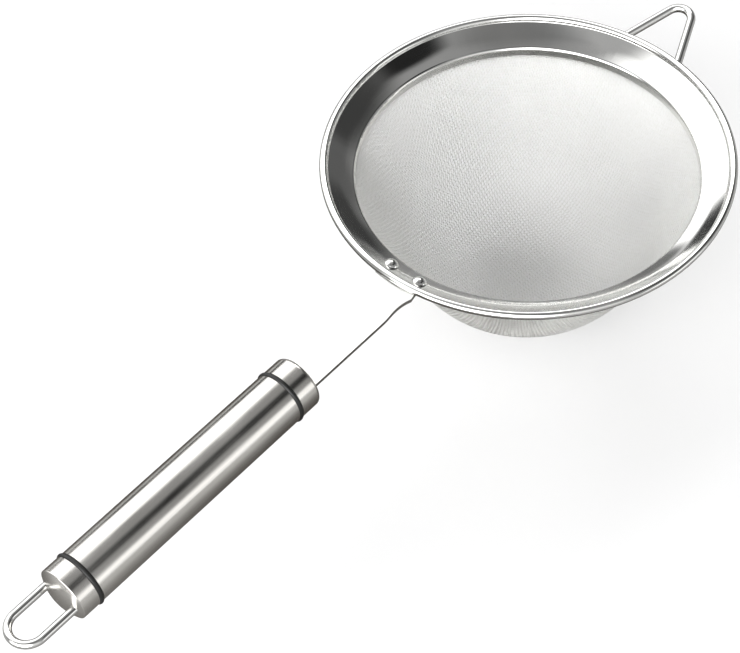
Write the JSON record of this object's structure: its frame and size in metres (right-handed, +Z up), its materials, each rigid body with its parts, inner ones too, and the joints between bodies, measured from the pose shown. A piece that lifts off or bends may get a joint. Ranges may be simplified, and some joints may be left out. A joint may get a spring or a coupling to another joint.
{
  "type": "wire mesh strainer",
  "caption": "Hand strainer: a deep round bowl of woven steel wire, backed by a second weave, in a flanged rim with a rest hook, a riveted neck, a tube handle and a hanging loop.",
  "frame": {"origin": "centre of the bowl's mouth, inside the top of the rim band's cylindrical wall", "axes": "+Z up, out of the mouth; +X from the mouth towards the handle and its hanging loop; +Y completes a right-handed frame"},
  "size_m": [0.4204, 0.18, 0.0921],
  "materials": {
    "rim_sheet": "stainless sheet, spun and mirror polished",
    "edge_wire": "plain drawn stainless wire",
    "fine_weave": "plain woven stainless wire cloth",
    "backing_weave": "plain woven stainless wire cloth behind the inner one",
    "bent_wire": "stainless wire, drawn and electropolished",
    "neck_plate": "stainless strip, tumbled bright",
    "rivet_steel": "stainless rivets, polished domed heads",
    "handle_satin": "stainless tube and caps, satin brushed along the handle",
    "black_rubber": "moulded black rubber",
    "plug_nylon": "moulded nylon",
    "inner_steel": "plain steel, not seen"
  },
  "bodies": {
    "root": {"rim_band": "rim_sheet", "rim_edge_wire": "edge_wire", "mesh_clamp_ring": "rim_sheet", "inner_mesh": "fine_weave", "outer_mesh": "backing_weave", "rest_hook": "bent_wire", "neck_strip": "neck_plate", "neck_rivets": "rivet_steel", "handle_front_cap": "handle_satin", "front_o_ring": "black_rubber", "handle_tube": "handle_satin", "rear_o_ring": "black_rubber", "handle_rear_cap": "handle_satin", "hanging_loop": "bent_wire", "tang_plug": "plug_nylon", "tang_pin": "inner_steel", "loop_anchor_plate": "inner_steel"}
  },
  "joints": []
}
